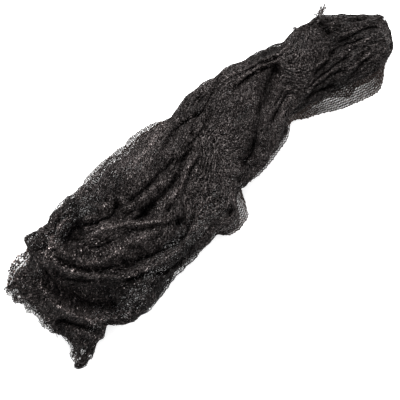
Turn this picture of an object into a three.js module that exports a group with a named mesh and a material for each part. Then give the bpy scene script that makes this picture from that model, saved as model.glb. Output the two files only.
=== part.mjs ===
// A shade net gathered by hand into a loose twisted bundle and laid down.
// It is one knitted sheet, raw on all its sides: an outer layer goes a little more than once round the bundle,
// turns in under itself and ends in upright pleats that fill the middle.
// Millimetres, +Z up, +X along the bundle, and Z = 0 is the surface that it lies on.
import * as THREE from 'three';

const { clamp, degToRad, euclideanModulo, lerp, radToDeg, smoothstep } = THREE.MathUtils;

// The sheet
const SHEET_THICKNESS = 1.2;
const SHEET_COLOUR = 0x1b1a1a;
const SHEET_ROUGHNESS = 0.62;

// The outline of the bundle, a row for each section along it, seen from above and from the side:
// how far it reaches to +Y and to -Y, and the height of its top.
const SECTIONS = [
  { x: -252, upper: 44, lower: -77, top: 14 },
  { x: -238, upper: 50, lower: -77, top: 24 },
  { x: -222, upper: 57, lower: -75, top: 42 },
  { x: -206, upper: 61, lower: -69, top: 60 },
  { x: -188, upper: 73, lower: -64, top: 70 },
  { x: -165, upper: 73, lower: -74, top: 76 },
  { x: -140, upper: 77, lower: -76, top: 79 },
  { x: -105, upper: 80, lower: -69, top: 82 },
  { x: -65, upper: 83, lower: -65, top: 84 },
  { x: -37, upper: 82, lower: -62, top: 84 },
  { x: -14, upper: 78, lower: -72, top: 83 },
  { x: 6, upper: 75, lower: -64, top: 82 },
  { x: 19, upper: 75, lower: -43, top: 81 },
  { x: 48, upper: 76, lower: -37, top: 79 },
  { x: 82, upper: 74, lower: -29, top: 75 },
  { x: 108, upper: 69, lower: -19, top: 70 },
  { x: 135, upper: 61, lower: -17, top: 66 },
  { x: 155, upper: 53, lower: -23, top: 65 },
  { x: 178, upper: 58, lower: -30, top: 67 },
  { x: 200, upper: 53, lower: -36, top: 66 },
  { x: 222, upper: 38, lower: -38, top: 60 },
  { x: 242, upper: 22, lower: -29, top: 46 },
  { x: 255, upper: 13, lower: -20, top: 28 },
];
const WIDEST_AT = 0.4;
const FLAT_SHARE = 0.6;
const SQUARENESS = 2.3;
const TINY = 1e-9;

// How far the sheet has turned about the bundle at each place along it, in degrees
const TWIST = [
  { x: -250, turn: 300 },
  { x: -150, turn: 288 },
  { x: -60, turn: 262 },
  { x: 20, turn: 216 },
  { x: 100, turn: 172 },
  { x: 175, turn: 70 },
  { x: 255, turn: 66 },
];

// The section in a disc of radius 1, before it is turned: the outer layer, then the pleats inside
const WRAP_START = -230;
const WRAP_END = 190;
const WRAP_POINTS = 49;
const TUCK_FROM = 60;
const TUCK_RADIUS = 0.58;
const PLEAT_RADIUS = 0.56;
const PLEAT_FIRST = -0.41;
const PLEAT_PITCH = 0.21;
const PLEAT_FROM = -1 / 6;
const PLEAT_TO = 3 + 5 / 6;
const PLEAT_POINTS = 25;
const PLEAT_TURN = 0.98;
const PLEAT_HEIGHT = 0.85;
const PLEAT_UNEVEN = 0.15;
const PLEAT_RHYTHM = 2.3;

// Where sections are cut along the bundle, closer where it bends more
const STEPS = [
  { from: -244, to: -60, pitch: 11.5 },
  { from: -60, to: 20, pitch: 13.4 },
  { from: 20, to: 100, pitch: 20 },
  { from: 100, to: 180, pitch: 11.5 },
  { from: 180, to: 254, pitch: 14.8 },
];

// The raw end at -X: the lower layers lie out on the surface, and the upper ones and the pleats stop short of them.
// At +X only the pleats stop short.
const END_BLEND = 120;
const UPPER_END_SETBACK = 10;
const PLEAT_END_SETBACK = 72;
const PLEAT_FAR_SETBACK = 24;
const END_LOBES = [
  { angle: 295, width: 22, reach: 8 },
  { angle: 240, width: 20, reach: -10 },
  { angle: 197, width: 12, reach: 9 },
];

// The free edge lies out on the surface as a flap beside the bundle's +X end
const FLAP_ANGLE = 26;
const FLAP_HEIGHT = 1.5;
const FLAP_LAID_FROM = 8;
const FLAP = [
  { x: 105, out: 0 },
  { x: 122, out: 9 },
  { x: 140, out: 13 },
  { x: 160, out: 16 },
  { x: 180, out: 16 },
  { x: 200, out: 11 },
  { x: 220, out: 4 },
  { x: 240, out: 0 },
];

// The main folds of the upper side in plan: a trough or ridge runs from one end to the other, bowed to the left
// of its way, and a ridge has a depth below zero.
const FOLDS = [
  { x0: 145, y0: 42, x1: 30, y1: -28, bow: 0, width: 8, depth: 22 },
  { x0: 150, y0: 38, x1: 52, y1: -27, bow: 0, width: 8, depth: -5 },
  { x0: 74, y0: 47, x1: 143, y1: 42, bow: 4, width: 8, depth: 12 },
  { x0: 104, y0: 59, x1: 159, y1: 50, bow: 1, width: 8, depth: 14 },
  { x0: 83, y0: -11, x1: 128, y1: 10, bow: 0, width: 8, depth: 12 },
  { x0: 196, y0: 14, x1: 250, y1: -3, bow: 3, width: 8, depth: 16 },
  { x0: 152, y0: 2, x1: 197, y1: 13, bow: -2, width: 8, depth: 14 },
  { x0: 139, y0: -7, x1: 194, y1: -3, bow: 0, width: 8, depth: 8 },
  { x0: 182, y0: -23, x1: 224, y1: -20, bow: 0, width: 8, depth: 10 },
  { x0: 199, y0: 50, x1: 198, y1: 22, bow: 0, width: 8, depth: 10 },
  { x0: -28, y0: 46, x1: 38, y1: 54, bow: 4, width: 8, depth: 12 },
  { x0: 38, y0: 53, x1: 78, y1: 69, bow: 0, width: 8, depth: 12 },
  { x0: 8, y0: 31, x1: -100, y1: 12, bow: 10, width: 9, depth: 17 },
  { x0: 6, y0: 15, x1: -53, y1: -25, bow: -7, width: 8, depth: 10 },
  { x0: -9, y0: -44, x1: -8, y1: -60, bow: 0, width: 8, depth: 14 },
  { x0: -200, y0: 27, x1: -168, y1: -16, bow: -3, width: 8, depth: 8 },
  { x0: -189, y0: 38, x1: -128, y1: -20, bow: -12, width: 8, depth: 14 },
  { x0: -148, y0: -15, x1: -52, y1: -40, bow: 0, width: 11, depth: 18 },
  { x0: -178, y0: 43, x1: -141, y1: 43, bow: 5, width: 10, depth: 24 },
  { x0: -148, y0: 45, x1: -92, y1: 39, bow: -12, width: 8, depth: 12 },
  { x0: -157, y0: 20, x1: -54, y1: -30, bow: 7, width: 8, depth: 10 },
  { x0: -148, y0: -36, x1: -58, y1: -51, bow: -14, width: 8, depth: 12 },
  { x0: -240, y0: -22, x1: -200, y1: -64, bow: 6, width: 8, depth: 12 },
  { x0: -192, y0: 39, x1: -100, y1: -47, bow: -18, width: 8, depth: -7 },
  { x0: -154, y0: 23, x1: -64, y1: -17, bow: 10, width: 8, depth: -7 },
  { x0: -225, y0: 6, x1: -186, y1: -59, bow: -7, width: 8, depth: -8 },
  { x0: -144, y0: 58, x1: -203, y1: 35, bow: -7, width: 8, depth: -7 },
];
const FOLD_SAMPLES = 14;
const FOLD_DEEPEST = 17;
const FOLD_ROOM = 0.34;
const FOLD_FULL_AT = 0.55;

// The hollow behind the raw end at -X, which presses the outer layers down by a share of their height
const HOLLOW = { x0: -206, y0: 38, x1: -172, y1: -52, bow: -18, width: 14, share: 0.45 };
const HOLLOW_FULL_AT = 0.4;

// A smooth reading of one column of a table whose rows lie along x
function along(rows, x, column) {
  const last = rows.length - 1;
  const here = clamp(x, rows[0].x, rows[last].x);
  const next = Math.max(1, rows.findIndex((row) => row.x >= here));
  const [a, b] = [rows[next - 1], rows[next]];
  const slopeAt = (k) => {
    const before = rows[Math.max(k - 1, 0)];
    const after = rows[Math.min(k + 1, last)];
    return (after[column] - before[column]) / (after.x - before.x);
  };
  const span = b.x - a.x;
  const t = (here - a.x) / span;
  const ends = lerp(a[column], b[column], t * t * (3 - 2 * t));
  return ends + span * t * (1 - t) * ((1 - t) * slopeAt(next - 1) - t * slopeAt(next));
}

// The sheet's section in the disc, from its free edge inwards
function wrapPoint(share) {
  const angle = lerp(WRAP_START, WRAP_END, share);
  const radius = lerp(1, TUCK_RADIUS, smoothstep(angle, TUCK_FROM, WRAP_END));
  return { angle, radius, pleat: false };
}

function pleatPoint(share) {
  const turn = lerp(PLEAT_FROM, PLEAT_TO, share);
  const across = PLEAT_FIRST + PLEAT_PITCH * (turn + PLEAT_TURN * Math.sin(2 * Math.PI * turn) / (2 * Math.PI));
  const uneven = PLEAT_HEIGHT + PLEAT_UNEVEN * Math.sin(PLEAT_RHYTHM * turn);
  const reach = uneven * Math.sqrt(PLEAT_RADIUS ** 2 - across ** 2);
  const up = -reach * Math.cos(Math.PI * turn);
  return { angle: radToDeg(Math.atan2(up, across)), radius: Math.hypot(across, up), pleat: true };
}

function sectionPoints() {
  const wrap = Array.from({ length: WRAP_POINTS }, (_, k) => wrapPoint(k / (WRAP_POINTS - 1)));
  const pleats = Array.from({ length: PLEAT_POINTS }, (_, k) => pleatPoint(k / (PLEAT_POINTS - 1)));
  return [...wrap, ...pleats];
}

function stations() {
  const places = [];
  for (const { from, to, pitch } of STEPS) {
    const count = Math.round((to - from) / pitch);
    for (let k = 0; k < count; k += 1) {
      places.push(lerp(from, to, k / count));
    }
  }
  places.push(STEPS.at(-1).to);
  return places;
}

// The raw ends: how far each line of the sheet stops short of the first and the last section
function endShift(point, x) {
  const [first, last] = [STEPS[0].from, STEPS.at(-1).to];
  const nearFirst = 1 - smoothstep(x, first, first + END_BLEND);
  const nearLast = smoothstep(x, last - END_BLEND, last);
  const tucked = point.pleat ? 1 : smoothstep(point.angle, TUCK_FROM, WRAP_END);
  const inner = tucked * (nearFirst * PLEAT_END_SETBACK - nearLast * PLEAT_FAR_SETBACK);
  if (point.pleat) {
    return inner;
  }
  const angle = point.angle + along(TWIST, first, 'turn');
  let shift = UPPER_END_SETBACK * Math.max(0, Math.sin(degToRad(angle))) * (1 - tucked);
  for (const lobe of END_LOBES) {
    const off = euclideanModulo(angle - lobe.angle + 180, 360) - 180;
    shift -= lobe.reach * Math.exp(-((off / lobe.width) ** 2));
  }
  return inner + nearFirst * shift;
}

// The folds and the hollow as curves in plan
function planCurve({ x0, y0, x1, y1, bow }) {
  const from = new THREE.Vector2(x0, y0);
  const to = new THREE.Vector2(x1, y1);
  const left = new THREE.Vector2(y0 - y1, x1 - x0).normalize();
  const middle = from.clone().lerp(to, 0.5).addScaledVector(left, 2 * bow);
  return new THREE.QuadraticBezierCurve(from, middle, to).getPoints(FOLD_SAMPLES);
}

const foldCurves = FOLDS.map((row) => ({ ...row, points: planCurve(row) }));
const hollowCurve = { ...HOLLOW, points: planCurve(HOLLOW) };

// How much of a fold lies at a place in plan, from 1 along its middle to 0 well beside it
function nearness(x, y, { points, width }) {
  const here = new THREE.Vector2(x, y);
  let nearest = Infinity;
  for (let k = 1; k < points.length; k += 1) {
    const leg = points[k].clone().sub(points[k - 1]);
    const t = clamp(here.clone().sub(points[k - 1]).dot(leg) / leg.lengthSq(), 0, 1);
    nearest = Math.min(nearest, here.distanceTo(points[k - 1].clone().addScaledVector(leg, t)));
  }
  return Math.exp(-((nearest / width) ** 2));
}

function foldDepth(x, y) {
  const total = foldCurves.reduce((sum, fold) => sum + fold.depth * nearness(x, y, fold), 0);
  return FOLD_DEEPEST * Math.tanh(total / FOLD_DEEPEST);
}

// The outer layer's section is squarer than a circle
const squared = (part) => Math.sign(part) * Math.abs(part) ** (2 / SQUARENESS);

// One point of the sheet's middle surface
function sheetPoint(point, station) {
  const x = station + endShift(point, station);
  const angle = degToRad(point.angle + along(TWIST, x, 'turn'));
  const round = [Math.cos(angle), Math.sin(angle)];
  const [across, up] = (point.pleat ? round : round.map(squared)).map((part) => point.radius * part);
  const upper = along(SECTIONS, x, 'upper');
  const lower = along(SECTIONS, x, 'lower');
  const top = along(SECTIONS, x, 'top') - SHEET_THICKNESS;
  const widest = WIDEST_AT * top;
  let y = (upper + lower) / 2 + (upper - lower) / 2 * across;
  let z;
  if (up >= 0) {
    const room = Math.min(1, FOLD_ROOM * (top - widest) / FOLD_DEEPEST);
    const fold = point.pleat ? 0 : room * foldDepth(x, y) * point.radius * Math.min(1, up / FOLD_FULL_AT);
    z = widest + (top - widest) * up - fold;
  } else {
    const corner = Math.max(0, (Math.abs(across) - FLAT_SHARE) / (1 - FLAT_SHARE));
    const lowest = widest * (1 - Math.sqrt(Math.max(0, 1 - corner ** 2)));
    const share = -up / Math.sqrt(Math.max(TINY, 1 - across ** 2));
    z = lerp(widest, lowest, Math.min(1, share));
  }
  const above = Math.sqrt(Math.max(0, 1 - across ** 2));
  z *= 1 - HOLLOW.share * nearness(x, y, hollowCurve) * Math.min(1, above / HOLLOW_FULL_AT);
  const fromEdge = point.angle - WRAP_START;
  const flap = along(FLAP, x, 'out');
  if (!point.pleat && fromEdge < FLAP_ANGLE && flap > 0) {
    const part = 1 - fromEdge / FLAP_ANGLE;
    y -= flap * part;
    z = lerp(z, FLAP_HEIGHT, part * Math.min(1, flap / FLAP_LAID_FROM));
  }
  return new THREE.Vector3(x, y, z + SHEET_THICKNESS / 2);
}

// A closed solid of even thickness about a grid of points, rows along the section and columns along the bundle
function thickSheet(grid, thickness) {
  const rows = grid.length;
  const columns = grid[0].length;
  const normalAt = (i, j) => {
    const du = grid[Math.min(i + 1, rows - 1)][j].clone().sub(grid[Math.max(i - 1, 0)][j]);
    const dv = grid[i][Math.min(j + 1, columns - 1)].clone().sub(grid[i][Math.max(j - 1, 0)]);
    return du.cross(dv).normalize();
  };
  const positions = [];
  for (const side of [1, -1]) {
    for (let i = 0; i < rows; i += 1) {
      for (let j = 0; j < columns; j += 1) {
        positions.push(...grid[i][j].clone().addScaledVector(normalAt(i, j), side * thickness / 2));
      }
    }
  }
  const outer = (i, j) => i * columns + j;
  const inner = (i, j) => rows * columns + i * columns + j;
  const index = [];
  const quad = (a, b, c, d) => index.push(a, b, c, a, c, d);
  for (let i = 0; i < rows - 1; i += 1) {
    for (let j = 0; j < columns - 1; j += 1) {
      quad(outer(i, j), outer(i + 1, j), outer(i + 1, j + 1), outer(i, j + 1));
      quad(inner(i, j), inner(i, j + 1), inner(i + 1, j + 1), inner(i + 1, j));
    }
    const end = columns - 1;
    quad(outer(i, 0), inner(i, 0), inner(i + 1, 0), outer(i + 1, 0));
    quad(outer(i, end), outer(i + 1, end), inner(i + 1, end), inner(i, end));
  }
  for (let j = 0; j < columns - 1; j += 1) {
    const end = rows - 1;
    quad(outer(0, j), outer(0, j + 1), inner(0, j + 1), inner(0, j));
    quad(outer(end, j), inner(end, j), inner(end, j + 1), outer(end, j + 1));
  }
  const geometry = new THREE.BufferGeometry();
  geometry.setAttribute('position', new THREE.Float32BufferAttribute(positions, 3));
  geometry.setIndex(index);
  return geometry;
}

// The net, with the middle of its outline at X = Y = 0
function makeNet() {
  const places = stations();
  const grid = sectionPoints().map((point) => places.map((place) => sheetPoint(point, place)));
  const geometry = thickSheet(grid, SHEET_THICKNESS);
  geometry.computeBoundingBox();
  const centre = geometry.boundingBox.getCenter(new THREE.Vector3());
  geometry.translate(-centre.x, -centre.y, -geometry.boundingBox.min.z);
  geometry.computeVertexNormals();
  const material = new THREE.MeshStandardMaterial({
    color: SHEET_COLOUR,
    roughness: SHEET_ROUGHNESS,
    metalness: 0,
  });
  const net = new THREE.Mesh(geometry, material);
  net.name = 'shade_net';
  return net;
}

const bundle = new THREE.Group();
bundle.add(makeNet());

export default bundle;
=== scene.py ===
import math

import bpy
import numpy as np
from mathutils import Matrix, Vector


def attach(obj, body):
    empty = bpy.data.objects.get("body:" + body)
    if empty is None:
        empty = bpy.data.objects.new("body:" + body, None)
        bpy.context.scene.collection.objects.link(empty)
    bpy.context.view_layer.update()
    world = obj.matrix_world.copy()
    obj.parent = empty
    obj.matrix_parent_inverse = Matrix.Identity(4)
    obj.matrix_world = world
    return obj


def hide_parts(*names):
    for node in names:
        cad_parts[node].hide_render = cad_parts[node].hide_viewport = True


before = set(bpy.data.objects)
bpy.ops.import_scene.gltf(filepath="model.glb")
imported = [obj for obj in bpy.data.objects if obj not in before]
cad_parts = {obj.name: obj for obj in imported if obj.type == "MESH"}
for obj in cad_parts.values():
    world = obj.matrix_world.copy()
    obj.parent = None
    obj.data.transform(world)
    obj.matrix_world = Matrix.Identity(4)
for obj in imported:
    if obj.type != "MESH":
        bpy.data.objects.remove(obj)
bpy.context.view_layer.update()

MM = 0.001


def table(columns, *rows):
    """A short table, read by the name of its column."""
    return dict(zip(columns.split(), np.array(rows, float).T))


# The bundle's outline and the height of its top, a row for each place along it
UPPER = table(
    "x reach",
    (-255, 44), (-243, 45), (-232, 47), (-222, 48.5), (-212, 50.5), (-206, 58), (-202, 72), (-190, 72.5),
    (-182, 71.5), (-172, 75), (-160, 79), (-135, 78), (-124, 73), (-112, 74.5), (-100, 75.5), (-90, 78),
    (-79, 79.3), (-66, 78.7), (-54, 76.7), (-42, 76.7), (-30, 78.3), (-14, 77.3), (2, 73.4), (20, 74),
    (37, 79), (55, 79), (70, 78.2), (98, 71.8), (110, 67.5), (133, 61.8), (147, 57), (158, 52.3),
    (178, 56.4), (196, 55), (206, 54), (216, 45), (222, 41), (227, 37), (232, 31.5), (246, 21), (255, 12.5),
    (260, 10),
)
LOWER = table(
    "x reach",
    (-252, -78), (-238, -79.5), (-224, -76.5), (-212, -72), (-202, -70.5), (-192, -65), (-186, -69),
    (-177, -76.2), (-162, -80.6), (-148, -80.3), (-134, -79.7), (-110, -70.9), (-76, -68.6), (-46, -65.8),
    (-35, -62.8), (-26, -67), (-14, -68), (-5, -64), (1, -54), (7, -45), (17, -40.7), (30, -39.2),
    (50, -37.6), (66, -35.2), (82, -30.8), (94, -26.3), (102, -20.6), (109, -15.5), (130, -16),
    (155, -22.5), (178, -28.5), (198, -33.5), (222, -36.5), (240, -32), (248, -25.5), (254, -15.5),
    (260, -5),
)
TOP = table(
    "x height",
    (-252, 14), (-238, 24), (-222, 42), (-206, 60), (-188, 70), (-165, 76), (-140, 79), (-105, 82),
    (-65, 84), (-14, 83), (48, 79), (108, 70), (155, 65), (178, 67), (200, 66), (222, 60), (242, 46),
    (255, 28),
)
# Its section: how high it is widest, how much of its underside lies flat, and how square it is
WIDEST_AT, FLAT_SHARE, SQUARENESS = 0.4, 0.6, 2.7
# Where the frame's origin lies in plan, and how low the yarn may lie
PLAN_CENTRE, LOWEST = (0.73, 2.6), 0.5

# How far the net has turned about the bundle at each place along it, in degrees
TWIST = table(
    "x turn",
    (-250, 300), (-150, 288), (-60, 262), (20, 216), (100, 172), (175, 70), (255, 66),
)

# The section in a disc of radius 1, before it is turned: the outer layer, a second turn, then the pleats
# inside. Angles are in degrees
WRAP_START, WRAP_END = -230, 190
TUCK_FROM, TUCK_RADIUS = 60, 0.975
TURN_END, TURN_RADIUS = 550, 0.94
PLEAT_RADIUS, PLEAT_FIRST, PLEAT_PITCH = 0.7, -0.51, 0.26
PLEAT_FROM, PLEAT_TO = -1 / 6, 3 + 5 / 6
PLEAT_TURN, PLEAT_HEIGHT, PLEAT_UNEVEN, PLEAT_RHYTHM = 0.98, 0.85, 0.15, 2.3

# The raw ends: how far out the net reaches at each place across the left one, and what stays back there.
# Each value named NOISE is a place on a plane of noise and its seed
FIRST_X, LAST_X, END_BLEND = -246, 258.5, 120
RAW_END = table(
    "y x back",
    (-80, -242, 4), (-76, -250, 4), (-69, -245, 8), (-62, -245, 7), (-56, -239, 3), (-50, -236.5, 2),
    (-42, -237, 2), (-35, -240, 2), (-29, -244.5, 3), (-22, -244, 6), (-17, -246.5, 7), (-10, -247, 8),
    (-3, -246.5, 8), (5, -247, 9), (12, -252, 10), (20, -252, 10), (28, -257.5, 11), (36, -254, 11),
    (43, -255.5, 10), (48, -250, 8),
)
UNDER_SETBACK, INNER_FAR_SETBACK = 0.3, 3
RAGGED, RAGGED_BLEND, RAGGED_LINES, RAGGED_NOISE = 2, 30, 8, (40, 7, 8)

# Holes where the net is pulled open
HOLES = table(
    "x y reach",
    (-247, 27, 2.5), (-246, 13, 3), (-240, -14, 2.5), (-222, -44, 2), (-245, -73, 3.4), (-233, -65, 5),
    (-240, -62, 3.2), (-229, -74, 3), (-238, -74, 3), (-226, -64, 2.2), (-240, -69, 2.2), (-236, -28, 2.5),
    (-245, 33, 2), (-240, 0, 2), (3, -46, 1.3), (6, -53, 1.4), (2, -60, 1.3),
)

# Single layers of the net that lie out beside the bundle, a row for each place along them:
# where they come out of the bundle and where their edge lies, and how high both are
FLAP = table(
    "x inner outer high low",
    (104, -12, -19, 20, 6), (112, -9, -19, 20, 4), (122, -6, -25, 19, 2), (140, -4, -33, 18, 1.5),
    (158, -8, -42, 18, 1.5), (176, -14, -48, 18, 1.5), (190, -20, -52.7, 17, 1.5),
    (204, -26, -54.3, 15, 1.5), (217, -29, -47.5, 13, 2), (227, -27, -38, 11, 3), (238, -24, -32, 10, 5),
)
FLAP_UNDER = table(
    "x inner outer high low",
    (116, -8, -17, 15, 3), (130, -6, -20, 14, 1.5), (145, -6, -21.5, 13, 1), (160, -10, -26, 13, 1),
    (175, -16, -37.5, 13, 1), (190, -22, -35.5, 12, 1), (205, -26, -40, 11, 1), (217, -27, -38, 10, 1.5),
    (228, -25, -33, 9, 2.5),
)
LOWER_EDGE = table(
    "x inner outer high low",
    (22, -37, -39, 22, 20), (30, -35, -39.8, 18, 13), (38, -33, -40.3, 15, 8), (46, -31, -40.5, 14, 6),
    (58, -29, -39, 14, 6), (70, -27, -36.5, 14, 6), (82, -24, -33, 14, 7), (92, -20, -30, 15, 9),
    (100, -17, -24.5, 18, 13), (107, -14, -17, 22, 20),
)
FRINGE = table(
    "x inner outer high low",
    (-250, 38, 45, 8, 4), (-245, 39, 49, 10, 5), (-239, 40, 54, 13, 6), (-232, 40, 59, 16, 7),
    (-226, 40, 61, 20, 9), (-220, 41, 61.5, 24, 12), (-213, 43, 60, 28, 16), (-208, 46, 60, 34, 22),
    (-203, 52, 64, 40, 30),
)
UPPER_RIM = table(
    "x inner outer high low",
    (-130, 60, 71.5, 44, 26), (-118, 62, 75, 44, 25), (-106, 64, 79, 46, 25), (-94, 65, 80.5, 46, 26),
    (-82, 66, 81, 47, 27), (-70, 66, 80.5, 47, 26), (-58, 66, 81, 47, 25), (-50, 66, 79.5, 47, 25),
    (-42, 66, 82.5, 47, 25), (-34, 65, 81.5, 46, 25), (-24, 64, 81, 46, 26), (-12, 62, 78, 45, 27),
    (-2, 60, 74, 44, 28),
)
LOBE_RIM = table(
    "x inner outer high low",
    (-34, -50, -62, 18, 7), (-28, -48, -68, 20, 5), (-22, -46, -71.5, 21, 4), (-11, -44, -72.5, 21, 3),
    (-1, -42, -69.5, 21, 3), (5, -40, -67, 20, 3), (10, -38, -57, 18, 4), (14, -36, -48, 16, 5),
    (18, -34, -41, 14, 7),
)
# How they sag, how uneven they are up and down and in plan, and how far apart their yarns are
PATCH_SAG = 1.5
PATCH_CRUMPLE, PATCH_CRUMPLE_SIZE, PATCH_CRUMPLE_AT = 1.1, 9, (20, 20)
PATCH_SHIFT, PATCH_SHIFT_SIZE, PATCH_SHIFT_AT = 0.5, 6, (50, 20)
SHEER_PITCH, LACE_PITCH, FRINGE_PITCH = 2.9, 2.8, 3.6


def fold(depth, left, right, *way):
    """A fold of the upper side: its depth, its spread left and right of its way, and its way in plan.

    A depth below zero is a ridge."""
    return dict(depth=depth, left=left, right=right, way=np.array(way, float))


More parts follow.
